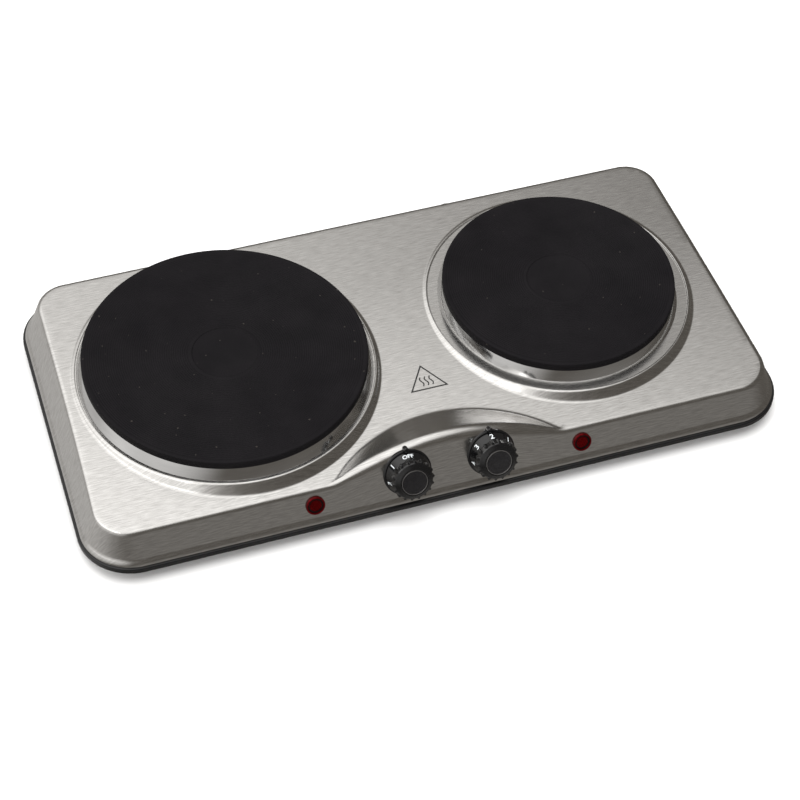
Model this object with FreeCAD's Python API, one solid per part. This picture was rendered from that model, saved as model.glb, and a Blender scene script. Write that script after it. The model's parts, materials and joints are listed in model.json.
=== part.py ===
import FreeCAD, Part
import math
import os

# Twin hot plate cooker. Millimetres, +Z up, +Y to the back, the front faces -Y.
# The origin is at the centre of the plan, on the surface that the feet stand on.

V = FreeCAD.Vector

# Driving dimensions
LARGE_PLATE_R = 92.5
SMALL_PLATE_R = 77.5
PLATE_X = 115.0
PLATE_Y = 6.9
PLATE_TOP_Z = 55.2
PLATE_RIM_H = 6.1
PLATE_BASE_Z = 38.0

# Top housing: deck, skirt and sheet
SHEET = 0.8
DECK_Z = 41.6
DECK_FRONT_Z = 35.8
DECK_FRONT_Y = PLATE_Y - 111.0
DECK_BACK_Y = PLATE_Y + 101.5
DECK_BEND_Y = PLATE_Y + 40.0
DECK_FRONT_HALF = 226.5
DECK_BACK_HALF = 218.7
FACE_END_Z = 18.8
FRONT_SLOPE = 0.4245
BACK_SLOPE = 0.40
FRONT_SIDE_SLOPE = 0.36
BACK_SIDE_SLOPE = 0.325
BASE_CORNER_R = 30.5
CORNER_R_SLOPE = 0.45
SKIRT_Z = 11.0
SKIRT_STEPS = ((SKIRT_Z, 3.0), (15.2, 2.5), (17.4, 1.0), (FACE_END_Z, 0.0))
ABOVE_Z = 60.0
DECK_FILLET = 3.5

# Raised lips round the plates
LIP_Z = 42.0
LIP_SLOPE = 1.1
LIP_FOOT_Z = 30.0
PLATE_HOLE_GAP = 6.5

# Arched hood over the knob panel: part of an upright cone
HOOD_AXIS_Y = PLATE_Y - 163.1
HOOD_R = 91.7
HOOD_R_Z = 36.8
HOOD_RISE = 0.50

# Base pan and feet
PAN_Z = 10.0
PAN_FLOOR = 1.0
PAN_RIM_Z = 13.6
PAN_RIM_GROW = 4.4
PAN_FIT = 3.05
FOOT_X = 195.0
FOOT_Y = 84.0
BASE_MID_Y = PLATE_Y - 3.8
FOOT_R = 10.0

# Knobs, lamps and gland
KNOB_X = 28.0
KNOB_Z = 33.5
KNOB_GAP = 1.6
KNOB_SKIRT_R = 14.7
KNOB_GRIP_R = 12.7
KNOB_GRIP_Z = 9.0
KNOB_FACE_Z = 15.5
KNOB_RIBS = 18
KNOB_RIB_R = 1.25
CAP_R = 8.6
CAP_Z = 14.2
CAP_T = 2.1
BEZEL_R = 15.9
BEZEL_T = 1.2
NUB_R = 1.6
NUB_H = 3.2
NUB_Y = 16.7
SHAFT_R = 3.0
SHAFT_TOP_Z = 10.0
SHAFT_TAIL = 17.0
SHAFT_CLEARANCE = 0.05
LAMP_X = 89.6
LAMP_Z = 26.1
GLAND_X = 76.0
GLAND_Z = 20.3
GLAND_R = 6.5
GLAND_L = 18.5
CABLE_R = 3.6
BLOCK_Y = PLATE_Y + 82.0
SCREW_SPREAD = 9.0

# Plate clamps
STRAP_Z = 28.0
STRAP_T = 1.5
STACK_X = 10.5

PANEL_TILT = math.degrees(math.atan(FRONT_SLOPE))
SIDES = (("left", -1), ("right", 1))
# Plates and their lips: name, x, plate radius, crest radius, seat radius, seat height
PLATES = (
    ("large", -PLATE_X, LARGE_PLATE_R, 98.5, 96.9, 41.0),
    ("small", PLATE_X, SMALL_PLATE_R, 88.5, 87.0, 41.3),
)


def cyl(radius, height, x=0.0, y=0.0, z=0.0):
    return Part.makeCylinder(radius, height, V(x, y, z))


def box(x0, x1, y0, y1, z0, z1):
    return Part.makeBox(x1 - x0, y1 - y0, z1 - z0, V(x0, y0, z0))


def tube(outer, inner, height, z=0.0):
    return cyl(outer, height, z=z).cut(cyl(inner, height, z=z))


def revolve(points, x=0.0, y=0.0):
    """Solid of revolution about an upright axis from (radius, z) points."""
    wire = Part.makePolygon([V(r, 0, z) for r, z in points + [points[0]]])
    solid = Part.Face(wire).revolve(V(0, 0, 0), V(0, 0, 1), 360)
    solid.translate(V(x, y, 0))
    return solid


def hexagon(across, height, x=0.0, y=0.0, z=0.0):
    r = across / math.sqrt(3.0)
    angles = [math.radians(60 * i) for i in range(7)]
    wire = Part.makePolygon([V(x + r * math.cos(a), y + r * math.sin(a), z) for a in angles])
    return Part.Face(wire).extrude(V(0, 0, height))


def rounded_polygon(corners, radius):
    """Closed wire through the corners, with each corner rounded."""
    edges = []
    count = len(corners)
    rounds = []
    for i, corner in enumerate(corners):
        to_last = (corners[i - 1] - corner).normalize()
        to_next = (corners[(i + 1) % count] - corner).normalize()
        half = to_last.getAngle(to_next) / 2.0
        reach = radius / math.tan(half)
        middle = (to_last + to_next).normalize()
        centre = corner + middle * (radius / math.sin(half))
        rounds.append((corner + to_last * reach, centre - middle * radius, corner + to_next * reach))
    for i in range(count):
        start, mid, end = rounds[i]
        edges.append(Part.Arc(start, mid, end).toShape())
        edges.append(Part.LineSegment(end, rounds[(i + 1) % count][0]).toShape())
    return Part.Wire(edges)


def outline(z, grow):
    """The skirt's outline at a height: a trapezoid, a little wider at the front."""
    level = max(z, FACE_END_Z)
    rise = level - FACE_END_Z
    front = DECK_FRONT_Y - (DECK_FRONT_Z - level) * FRONT_SLOPE - grow
    back = DECK_BACK_Y + (DECK_Z - level) * BACK_SLOPE + grow
    front_half = DECK_FRONT_HALF + (DECK_FRONT_Z - level) * FRONT_SIDE_SLOPE + grow
    back_half = DECK_BACK_HALF + (DECK_Z - level) * BACK_SIDE_SLOPE + grow
    corners = [
        V(-front_half, front, z), V(front_half, front, z),
        V(back_half, back, z), V(-back_half, back, z),
    ]
    return rounded_polygon(corners, BASE_CORNER_R - CORNER_R_SLOPE * rise + grow)


def above_deck(drop):
    """Everything above the deck: level at the back, and curving down to the front edge."""
    middle_y = (DECK_FRONT_Y + DECK_BEND_Y) / 2.0
    span = DECK_BEND_Y - DECK_FRONT_Y
    fall = DECK_Z - DECK_FRONT_Z
    radius = span * span / (2.0 * fall) + fall / 2.0

    def deck_z(y):
        across = DECK_BEND_Y - y
        return DECK_Z - drop - (radius - math.sqrt(radius * radius - across * across))

    far = 300.0
    front_y = DECK_FRONT_Y - 30.0
    arc = Part.Arc(
        V(-far, front_y, deck_z(front_y)),
        V(-far, middle_y, deck_z(middle_y)),
        V(-far, DECK_BEND_Y, DECK_Z - drop),
    )
    rest = Part.makePolygon([
        V(-far, DECK_BEND_Y, DECK_Z - drop), V(-far, far, DECK_Z - drop), V(-far, far, 2 * ABOVE_Z),
        V(-far, front_y, 2 * ABOVE_Z), V(-far, front_y, deck_z(front_y)),
    ])
    wire = Part.Wire([arc.toShape()] + rest.Edges)
    return Part.Face(wire).extrude(V(2 * far, 0, 0))


def behind_panel(inset):
    """Everything behind the plane of the knob panel."""
    low, high = 0.0, 2 * ABOVE_Z
    far = 300.0
    shift = inset / math.cos(math.radians(PANEL_TILT))

    def panel_y(z):
        return DECK_FRONT_Y - (DECK_FRONT_Z - z) * FRONT_SLOPE + shift

    wire = Part.makePolygon([
        V(-far, panel_y(low), low), V(-far, far, low), V(-far, far, high), V(-far, panel_y(high), high),
        V(-far, panel_y(low), low),
    ])
    return Part.Face(wire).extrude(V(2 * far, 0, 0))


def skirt_block(inset):
    steps = [(z, grow - inset) for z, grow in SKIRT_STEPS]
    if inset:
        steps[0] = (SKIRT_Z - 0.5, steps[0][1])
    wires = [outline(z, grow) for z, grow in steps] + [outline(ABOVE_Z, -inset)]
    return Part.makeLoft(wires, True, True)


def round_deck_edge(block, radius):
    """Rounds the edge between the deck and the skirt, where all edges lie on the deck."""
    edges = []
    for edge in block.Edges:
        low_z = edge.BoundBox.ZMin
        crosses = abs(edge.tangentAt(edge.FirstParameter).z) > 0.5
        if low_z > DECK_FRONT_Z - 1.5 and not crosses and not is_deck_seam(edge):
            edges.append(edge)
    return block.makeFillet(radius, edges)


def is_deck_seam(edge):
    """The line across the deck where its level part meets its curved part."""
    return edge.BoundBox.YLength < 0.01 and abs(edge.BoundBox.YMin - DECK_BEND_Y) < 0.01


def housing_body(inset):
    """The housing's outer form, or with an inset the space inside it."""
    skirt = skirt_block(inset)
    body = round_deck_edge(skirt.cut(above_deck(inset)), DECK_FILLET - inset)
    for _, x, _, crest_r, seat_r, seat_z in PLATES:
        top_z = LIP_Z - inset
        foot_r = crest_r - inset + (top_z - LIP_FOOT_Z) * LIP_SLOPE
        lip = Part.makeCone(foot_r, crest_r - inset, top_z - LIP_FOOT_Z, V(x, PLATE_Y, LIP_FOOT_Z))
        body = body.fuse(lip.common(skirt))
        body = body.cut(cyl(seat_r + inset, ABOVE_Z, x, PLATE_Y, seat_z - inset))
    low_z = 30.0
    high_z = 60.0
    low_r = HOOD_R - inset + (HOOD_R_Z - low_z) / HOOD_RISE
    high_r = HOOD_R - inset + (HOOD_R_Z - high_z) / HOOD_RISE
    hood = Part.makeCone(low_r, high_r, high_z - low_z, V(0, HOOD_AXIS_Y, low_z))
    return body.fuse(hood.common(behind_panel(inset)))


def panel_point(z):
    return DECK_FRONT_Y - (DECK_FRONT_Z - z) * FRONT_SLOPE


def on_panel(shape, x, z):
    """Stands a shape, built along +Z from the origin, on the knob panel."""
    placed = shape.copy()
    placed.rotate(V(0, 0, 0), V(1, 0, 0), 90.0 - PANEL_TILT)
    placed.translate(V(x, panel_point(z), z))
    return placed


def top_housing():
    shell = housing_body(0.0).cut(housing_body(SHEET))
    for _, x, radius, _, _, _ in PLATES:
        shell = shell.cut(cyl(radius - PLATE_HOLE_GAP, ABOVE_Z, x, PLATE_Y, DECK_FRONT_Z - 10.0))
    for _, side in SIDES:
        shell = shell.cut(on_panel(cyl(5.4, 20, z=-10), side * KNOB_X, KNOB_Z))
        for y in (-SCREW_SPREAD, SCREW_SPREAD):
            shell = shell.cut(on_panel(cyl(2.1, 20, y=y, z=-10), side * KNOB_X, KNOB_Z))
        shell = shell.cut(on_panel(cyl(5.6, 20, z=-10), side * LAMP_X, LAMP_Z))
    hole = Part.makeCylinder(GLAND_R + 0.1, 40, V(GLAND_X, DECK_BACK_Y - 15, GLAND_Z), V(0, 1, 0))
    return shell.cut(hole)


def prism(z0, z1, grow):
    wire = outline(SKIRT_Z, grow)
    wire.translate(V(0, 0, z0 - SKIRT_Z))
    return Part.Face(wire).extrude(V(0, 0, z1 - z0))


def foot_places():
    for y_name, y_side in (("front", -1), ("back", 1)):
        for x_name, x_side in SIDES:
            yield y_name + "_" + x_name, x_side * FOOT_X, BASE_MID_Y + y_side * FOOT_Y


def base_pan():
    pan = prism(PAN_Z, PAN_RIM_Z, PAN_RIM_GROW)
    pan = pan.makeFillet(0.8, [e for e in pan.Edges if e.BoundBox.ZMin > PAN_RIM_Z - 0.01])
    pan = pan.cut(prism(PAN_Z + PAN_FLOOR, PAN_RIM_Z + 1, PAN_FIT))
    for _, x, radius, _, _, _ in PLATES:
        for row in (-1, 1):
            for i in range(-4, 5):
                slot_x = x + i * 14.0
                slot_y = PLATE_Y + row * 36.0
                pan = pan.cut(slot(slot_x, slot_y, 46.0, 5.0, PAN_Z - 1, PAN_FLOOR + 2))
    for _, x, y in foot_places():
        pan = pan.cut(cyl(2.15, 5, x, y, PAN_Z - 1))
    for x, y in base_screw_places():
        pan = pan.cut(cyl(1.75, 5, x, y, PAN_Z - 1))
    for x in (GLAND_X + 46.0, GLAND_X + 56.0):
        pan = pan.cut(cyl(1.75, 5, x, BLOCK_Y, PAN_Z - 1))
    return pan


def slot(x, y, length, width, z, height):
    half = (length - width) / 2.0
    r = width / 2.0
    body = box(x - r, x + r, y - half, y + half, z, z + height)
    return body.fuse(cyl(r, height, x, y - half, z)).fuse(cyl(r, height, x, y + half, z))


def base_screw_places():
    return [(x, BASE_MID_Y + y) for y in (-106.2, 105.8) for x in (-150.0, 150.0)]


def plate(x, radius):
    """Cast-iron plate: rim, thick body under it and a recessed disc at the centre."""
    top = PLATE_TOP_Z
    rim = top - PLATE_RIM_H
    inner = radius - 8.0
    profile = [
        (0, top - 0.5), (21.0, top - 0.5), (21.5, top), (radius - 0.8, top), (radius, top - 0.8),
        (radius, rim + 0.4), (radius - 0.4, rim), (inner, rim),
        (inner, PLATE_BASE_Z + 0.6), (inner - 0.6, PLATE_BASE_Z), (0, PLATE_BASE_Z),
    ]
    return revolve(profile, x, PLATE_Y)


def trim_ring(x, radius, seat_z):
    """Polished ring from the plate's rim down to its seat on the housing."""
    top = PLATE_TOP_Z - PLATE_RIM_H
    foot_r = radius + (3.7 if radius > 80 else 2.7)
    profile = [
        (radius - 6.0, top - 0.6), (radius - 6.0, top), (radius - 1.0, top),
        (foot_r, seat_z), (foot_r - 0.8, seat_z), (radius - 1.6, top - 0.6),
    ]
    return revolve(profile, x, PLATE_Y)


def heat_shield(x, radius):
    """Dished tray that keeps heat from the base pan."""
    z = STRAP_Z
    rim_r = radius - 16.0
    profile = [
        (4.6, z), (rim_r - 6.0, z), (rim_r, z + 6.0), (rim_r + 2.0, z + 6.0), (rim_r + 2.0, z + 6.6),
        (rim_r - 0.3, z + 6.6), (rim_r - 6.3, z + 0.6), (4.6, z + 0.6),
    ]
    return revolve(profile, x, PLATE_Y)


def clamp_strap(x, radius, seat_z):
    """Strap whose ends press up under the housing's seat."""
    end = seat_z - SHEET
    reach = radius + 1.0
    knee = radius - 6.9
    low = STRAP_Z
    points = [
        (-reach, end), (-knee, end), (-knee + 5.0, low), (knee - 5.0, low), (knee, end), (reach, end),
        (reach, end - STRAP_T), (knee + 1.0, end - STRAP_T), (knee - 4.0, low - STRAP_T),
        (-knee + 4.0, low - STRAP_T), (-knee - 1.0, end - STRAP_T), (-reach, end - STRAP_T), (-reach, end),
    ]
    half_width = 10.0
    wire = Part.makePolygon([V(x + u, PLATE_Y - half_width, w) for u, w in points])
    strap = Part.Face(wire).extrude(V(0, 2 * half_width, 0))
    return strap.cut(cyl(4.6, 20, x, PLATE_Y, 20))


def centre_stud(x):
    stud = cyl(4.0, 20.0, x, PLATE_Y, 18.0)
    return stud.makeChamfer(0.6, [e for e in stud.Edges if e.BoundBox.ZMax < 18.01])


def stud_nut(x):
    return hexagon(13.0, 6.5, x, PLATE_Y, 18.7).cut(cyl(4.0, 8, x, PLATE_Y, 18.0))


def stud_washer(x):
    return cyl(8.0, 1.3, x, PLATE_Y, 25.2).cut(cyl(4.4, 2, x, PLATE_Y, 25.0))


def plate_terminals(x):
    """Ceramic block on the underside of the plate, and its pins."""
    block = box(x - 13, x + 13, PLATE_Y + 26, PLATE_Y + 38, 30.5, 38.0)
    pins = []
    for offset in (-8.5, 0.0, 8.5):
        pin = cyl(1.2, 5.5, x + offset, PLATE_Y + 32, 29.5)
        block = block.cut(cyl(1.2, 5.5, x + offset, PLATE_Y + 32, 29.5))
        pins.append(pin)
    return block, Part.makeCompound(pins)


def knob():
    """Knob with a conical skirt, a ribbed grip and a recess for its cap."""
    recess_r = CAP_R + 0.1
    profile = [
        (SHAFT_R, KNOB_GAP), (KNOB_SKIRT_R, KNOB_GAP), (KNOB_SKIRT_R, KNOB_GAP + 0.8),
        (KNOB_GRIP_R - 0.2, KNOB_GRIP_Z - 0.4), (KNOB_GRIP_R, KNOB_GRIP_Z),
        (KNOB_GRIP_R, KNOB_FACE_Z - 2.3), (KNOB_GRIP_R - 0.5, KNOB_FACE_Z - 1.8),
        (recess_r + 0.7, KNOB_FACE_Z), (recess_r, KNOB_FACE_Z),
        (recess_r, CAP_Z), (0, CAP_Z), (0, SHAFT_TOP_Z), (SHAFT_R, SHAFT_TOP_Z),
    ]
    body = revolve(profile)
    rib_h = KNOB_FACE_Z - 2.1 - KNOB_GRIP_Z
    for i in range(KNOB_RIBS):
        angle = 2 * math.pi * i / KNOB_RIBS
        x = KNOB_GRIP_R * math.cos(angle)
        y = KNOB_GRIP_R * math.sin(angle)
        body = body.fuse(cyl(KNOB_RIB_R, rib_h, x, y, KNOB_GRIP_Z))
    pocket = tube(11.4, 5.6, KNOB_GRIP_Z - 2.0, z=KNOB_GAP)
    return body.cut(pocket).removeSplitter()


def knob_cap():
    disc = cyl(CAP_R, CAP_T, z=CAP_Z)
    return disc.makeChamfer(0.4, [e for e in disc.Edges if e.BoundBox.ZMin > CAP_Z + CAP_T - 0.1])


def knob_shaft():
    shaft = cyl(SHAFT_R, SHAFT_TOP_Z + SHAFT_TAIL, z=-SHAFT_TAIL)
    return shaft.makeChamfer(0.4, [e for e in shaft.Edges if e.BoundBox.ZMax < 0.1 - SHAFT_TAIL])


def knob_bezel():
    """Ring on the panel behind the knob, with a round index nub at its top."""
    ring = cyl(BEZEL_R, BEZEL_T)
    nub = cyl(NUB_R, NUB_H, y=NUB_Y)
    tab = box(-NUB_R, NUB_R, BEZEL_R - 2.0, NUB_Y, 0.0, BEZEL_T)
    bezel = ring.fuse(nub.fuse(tab))
    bezel = bezel.cut(cyl(5.4, 4, z=-1)).removeSplitter()
    for y in (-SCREW_SPREAD, SCREW_SPREAD):
        bezel = bezel.cut(cyl(3.3, 4, y=y, z=-1))
    return bezel


def thermostat_screws():
    screws = []
    for y in (-SCREW_SPREAD, SCREW_SPREAD):
        head = cyl(3.0, 1.1, y=y)
        shank = cyl(1.9, 4.2, y=y, z=-4.2)
        slot_cut = box(-3.0, 3.0, y - 0.4, y + 0.4, 0.6, 1.2)
        screws.append(head.fuse(shank).cut(slot_cut))
    return Part.makeCompound(screws)


def thermostat_frame():
    """Bracket behind the panel, with the bush that the shaft turns in."""
    back = -SHEET
    front_wall = box(-13, 17, -13, 6, back - 2.0, back).fuse(box(-4, 4, 6, 11.5, back - 2.0, back))
    bush = cyl(5.2, 9.0, z=back - 9.0)
    shelf = box(15.5, 17, -8, 8, back - 20.0, back - 2.0)
    frame = front_wall.fuse(bush).fuse(shelf)
    frame = frame.cut(cyl(SHAFT_R + SHAFT_CLEARANCE, 20, z=-15))
    for y in (-SCREW_SPREAD, SCREW_SPREAD):
        frame = frame.cut(cyl(1.9, 5, y=y, z=-4.5))
    return frame.removeSplitter()


def ceramic_stack():
    """Insulating washers that hold the two blades apart."""
    spans = ((-2.8, -17.9), (-18.4, -21.0), (-21.8, -24.0))
    return Part.makeCompound([cyl(4.4, top - low, STACK_X, 0, low) for top, low in spans])


def contact_blade():
    return box(-14, 14.5, -3.0, 3.0, -18.4, -17.9)


def bimetal_blade():
    return box(-16, 14.5, -4.0, 4.0, -21.8, -21.0)


def lamp_lens():
    """Round red lens with a raised rim and a low dome."""
    profile = [
        (0, -6.0), (4.5, -6.0), (4.5, 0), (6.3, 0), (6.3, 1.2), (5.9, 1.7), (4.9, 1.7),
        (4.5, 1.2), (2.6, 2.0), (0, 2.2),
    ]
    return revolve(profile)


def lamp_body():
    return tube(5.5, 4.55, 14.0, z=-14.0)


def lamp_clip():
    return tube(8.0, 5.55, 1.2, z=-SHEET - 1.2)


def lamp_neon():
    return cyl(2.0, 7.0, z=-13.5)


def cord_gland():
    """Bush in the back wall that a mains cable passes through."""
    inside_y = DECK_BACK_Y - 3.5
    profile = [
        (CABLE_R, 0), (8.4, 0), (8.4, 3.0), (GLAND_R, 3.0),
        (GLAND_R, GLAND_L - 1.5), (GLAND_R - 1.5, GLAND_L),
        (CABLE_R, GLAND_L),
    ]
    gland = revolve(profile)
    gland.rotate(V(0, 0, 0), V(1, 0, 0), -90)
    gland.translate(V(GLAND_X, inside_y, GLAND_Z))
    return gland


def cord_clamp():
    """Saddle over the place where a cable would lie, with its screw."""
    y0 = BLOCK_Y + 2.0
    y1 = y0 + 8.0
    z0 = PAN_Z + PAN_FLOOR
    saddle = box(GLAND_X - 12, GLAND_X + 12, y0, y1, z0, z0 + 12.0)
    bore = Part.makeCylinder(CABLE_R + 0.2, 20, V(GLAND_X, y0 - 5, GLAND_Z), V(0, 1, 0))
    slot_cut = box(GLAND_X - 3.8, GLAND_X + 3.8, y0, y1, z0, GLAND_Z)
    screw_x = (-8.5, 8.5)
    screws = []
    saddle = saddle.cut(bore).cut(slot_cut)
    for x in screw_x:
        shank = cyl(1.5, 14.0, GLAND_X + x, (y0 + y1) / 2, z0)
        saddle = saddle.cut(shank)
        head = cyl(3.0, 1.8, GLAND_X + x, (y0 + y1) / 2, z0 + 12.0)
        screws.append(cyl(1.5, 12.0, GLAND_X + x, (y0 + y1) / 2, z0).fuse(head))
    return saddle, Part.makeCompound(screws)


def mains_block():
    """Three-way terminal block on the pan, with its clamp screws."""
    z0 = PAN_Z + PAN_FLOOR
    x0 = GLAND_X - 40.0
    block = box(x0 - 16, x0 + 16, BLOCK_Y - 9, BLOCK_Y + 9, z0, z0 + 12.0)
    screws = []
    for i in range(3):
        x = x0 - 10.0 + 10.0 * i
        for y in (BLOCK_Y - 5, BLOCK_Y + 5):
            block = block.cut(cyl(2.0, 8, x, y, z0 + 6.0))
            screws.append(cyl(1.9, 4.5, x, y, z0 + 6.0))
    return block, Part.makeCompound(screws)


def earth_tag():
    z0 = PAN_Z + PAN_FLOOR
    x0 = GLAND_X + 51.0
    tag = box(x0 - 11, x0 + 11, BLOCK_Y - 4, BLOCK_Y + 4, z0, z0 + 0.8)
    blade = box(x0 + 10.2, x0 + 11, BLOCK_Y - 3.2, BLOCK_Y + 3.2, z0 + 0.8, z0 + 9.0)
    tag = tag.fuse(blade)
    rivets = []
    for x in (x0 - 5.0, x0 + 5.0):
        tag = tag.cut(cyl(1.7, 3, x, BLOCK_Y, z0 - 1))
        rivet = cyl(1.7, 1.8 + PAN_FLOOR, x, BLOCK_Y, PAN_Z)
        head = cyl(3.0, 0.9, x, BLOCK_Y, z0 + 0.8)
        rivets.append(rivet.fuse(head))
    return tag, Part.makeCompound(rivets)


def lead(points, radius, bend):
    """Insulated wire: straight runs joined by tangent arcs."""
    edges = []
    last = points[0]
    for i in range(1, len(points) - 1):
        corner = points[i]
        back = (points[i - 1] - corner).normalize()
        ahead = (points[i + 1] - corner).normalize()
        half = back.getAngle(ahead) / 2.0
        reach = bend / math.tan(half)
        middle = (back + ahead).normalize()
        centre = corner + middle * (bend / math.sin(half))
        start = corner + back * reach
        end = corner + ahead * reach
        edges.append(Part.LineSegment(last, start).toShape())
        edges.append(Part.Arc(start, centre - middle * bend, end).toShape())
        last = end
    edges.append(Part.LineSegment(last, points[-1]).toShape())
    path = Part.Wire(edges)
    direction = points[1] - points[0]
    section = Part.Wire(Part.makeCircle(radius, points[0], direction))
    return path.makePipeShell([section], True, False)


def internal_leads():
    """Wires from the mains block to the thermostats, and on to the plates."""
    leads = []
    z = 17.5
    x0 = GLAND_X - 40.0
    for side, shift in ((-1, -10.0), (1, 10.0)):
        knob_x = side * KNOB_X
        start = V(x0 + shift, BLOCK_Y - 9.0, z)
        route = [start, V(x0 + shift, 40.0 + shift, z), V(knob_x + 6, -20.0, z), V(knob_x + 6, -66.0, z)]
        leads.append(lead(route, 1.3, 8.0))
    for side in (-1, 1):
        knob_x = side * KNOB_X
        plate_x = side * PLATE_X
        start = V(knob_x - 6, -66.0, z)
        route = [
            start, V(knob_x - 6, -40.0, z),
            V(plate_x - side * 68, 34.0, z), V(plate_x - side * 40, 38.0, z),
        ]
        leads.append(lead(route, 1.3, 8.0))
    return Part.makeCompound(leads)


def foot():
    profile = [(2.1, 0.0), (8.2, 0.0), (9.0, 0.8), (FOOT_R, PAN_Z), (2.1, PAN_Z)]
    body = revolve(profile)
    return body.cut(cyl(4.2, 4.0, z=-0.5))


def foot_screws():
    screws = []
    for _, x, y in foot_places():
        shank = cyl(2.0, 11.5, x, y, 3.5)
        head = cyl(3.8, 2.0, x, y, 1.5)
        screws.append(shank.fuse(head).cut(box(x - 4, x + 4, y - 0.4, y + 0.4, 1.0, 2.3)))
    return Part.makeCompound(screws)


def foot_nuts():
    nuts = []
    z0 = PAN_Z + PAN_FLOOR
    for _, x, y in foot_places():
        nuts.append(hexagon(7.0, 3.2, x, y, z0).cut(cyl(2.0, 5, x, y, z0 - 1)))
    return Part.makeCompound(nuts)


def skirt_brackets():
    """Angle tabs inside the skirt that the base screws hold."""
    z0 = PAN_Z + PAN_FLOOR
    tabs = []
    for x, y in base_screw_places():
        inward = -1.0 if y > 0 else 1.0
        wall_y = BASE_MID_Y + (112.4 if y > 0 else -112.8)
        y0, y1 = sorted((wall_y, y + inward * 6.0))
        foot_tab = box(x - 7, x + 7, y0, y1, z0, z0 + 1.2)
        y2, y3 = sorted((wall_y, wall_y + inward * 1.2))
        wall_tab = box(x - 7, x + 7, y2, y3, z0, z0 + 7.0)
        tabs.append(foot_tab.fuse(wall_tab).removeSplitter().cut(cyl(1.5, 5, x, y, z0 - 1)))
    return Part.makeCompound(tabs)


def base_screws():
    screws = []
    for x, y in base_screw_places():
        shank = cyl(1.5, 5.5, x, y, PAN_Z - 0.4)
        head = cyl(3.0, 1.6, x, y, PAN_Z - 1.6)
        cross = box(x - 2, x + 2, y - 0.4, y + 0.4, PAN_Z - 2, PAN_Z - 0.9)
        screws.append(shank.fuse(head).cut(cross))
    return Part.makeCompound(screws)


def build_parts():
    parts = {"top_housing": top_housing(), "base_pan": base_pan()}
    for name, x, radius, _, _, seat_z in PLATES:
        parts[name + "_plate"] = plate(x, radius)
        parts[name + "_trim_ring"] = trim_ring(x, radius, seat_z)
        parts[name + "_heat_shield"] = heat_shield(x, radius)
        parts[name + "_clamp_strap"] = clamp_strap(x, radius, seat_z)
        parts[name + "_centre_stud"] = centre_stud(x)
        block, pins = plate_terminals(x)
        parts[name + "_terminal_block"] = block
        parts[name + "_terminal_pins"] = pins
    parts["stud_nuts"] = Part.makeCompound([stud_nut(x) for _, x, _, _, _, _ in PLATES])
    parts["stud_washers"] = Part.makeCompound([stud_washer(x) for _, x, _, _, _, _ in PLATES])
    for name, side in SIDES:
        for part_name, shape in (
            ("knob", knob()), ("knob_cap", knob_cap()), ("knob_shaft", knob_shaft()),
            ("knob_bezel", knob_bezel()), ("thermostat_frame", thermostat_frame()),
            ("thermostat_screws", thermostat_screws()), ("ceramic_stack", ceramic_stack()),
            ("contact_blade", contact_blade()), ("bimetal_blade", bimetal_blade()),
        ):
            parts[name + "_" + part_name] = on_panel(shape, side * KNOB_X, KNOB_Z)
        for part_name, shape in (
            ("lamp_lens", lamp_lens()), ("lamp_body", lamp_body()), ("lamp_clip", lamp_clip()),
            ("lamp_neon", lamp_neon()),
        ):
            parts[name + "_" + part_name] = on_panel(shape, side * LAMP_X, LAMP_Z)
    parts["cord_gland"] = cord_gland()
    parts["cord_clamp"], parts["cord_clamp_screws"] = cord_clamp()
    parts["mains_block"], parts["mains_block_screws"] = mains_block()
    parts["earth_tag"], parts["earth_rivets"] = earth_tag()
    parts["internal_leads"] = internal_leads()
    for name, x, y in foot_places():
        shape = foot()
        shape.translate(V(x, y, 0))
        parts["foot_" + name] = shape
    parts["foot_screws"] = foot_screws()
    parts["foot_nuts"] = foot_nuts()
    parts["skirt_brackets"] = skirt_brackets()
    parts["base_screws"] = base_screws()
    return parts


def main():
    os.makedirs("parts", exist_ok=True)
    whole = FreeCAD.BoundBox()
    for name, shape in build_parts().items():
        solids = shape.Solids
        print(name, "solids", len(solids), "valid", shape.isValid(), "volume", round(shape.Volume, 1))
        whole.add(shape.BoundBox)
        shape.exportStep("parts/" + name + ".step")
    print("box", whole)


main()
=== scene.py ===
import json
import math

import bmesh
import bpy
import numpy as np
from mathutils import Matrix, Vector
from mathutils.geometry import delaunay_2d_cdt


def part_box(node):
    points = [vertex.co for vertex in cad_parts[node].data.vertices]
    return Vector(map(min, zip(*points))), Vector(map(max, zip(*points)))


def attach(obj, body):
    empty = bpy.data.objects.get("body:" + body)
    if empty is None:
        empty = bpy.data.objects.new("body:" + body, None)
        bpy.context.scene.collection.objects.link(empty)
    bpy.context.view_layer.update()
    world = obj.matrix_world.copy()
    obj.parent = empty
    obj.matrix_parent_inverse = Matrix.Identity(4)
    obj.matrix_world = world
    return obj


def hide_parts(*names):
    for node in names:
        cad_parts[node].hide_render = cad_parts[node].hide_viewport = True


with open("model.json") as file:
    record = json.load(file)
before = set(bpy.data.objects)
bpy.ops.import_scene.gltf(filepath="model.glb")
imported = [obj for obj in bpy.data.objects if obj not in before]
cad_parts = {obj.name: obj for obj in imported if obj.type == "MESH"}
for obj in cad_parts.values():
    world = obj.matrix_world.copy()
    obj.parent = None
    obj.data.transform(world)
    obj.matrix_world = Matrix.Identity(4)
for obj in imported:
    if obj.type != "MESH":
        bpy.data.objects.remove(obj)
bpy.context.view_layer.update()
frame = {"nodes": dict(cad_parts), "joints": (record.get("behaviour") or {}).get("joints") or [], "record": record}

MM = 0.001


# ---------------------------------------------------------------- places read from the frame (mm)

def box_mm(node):
    lo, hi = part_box(node)
    return Vector(lo) / MM, Vector(hi) / MM


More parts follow.
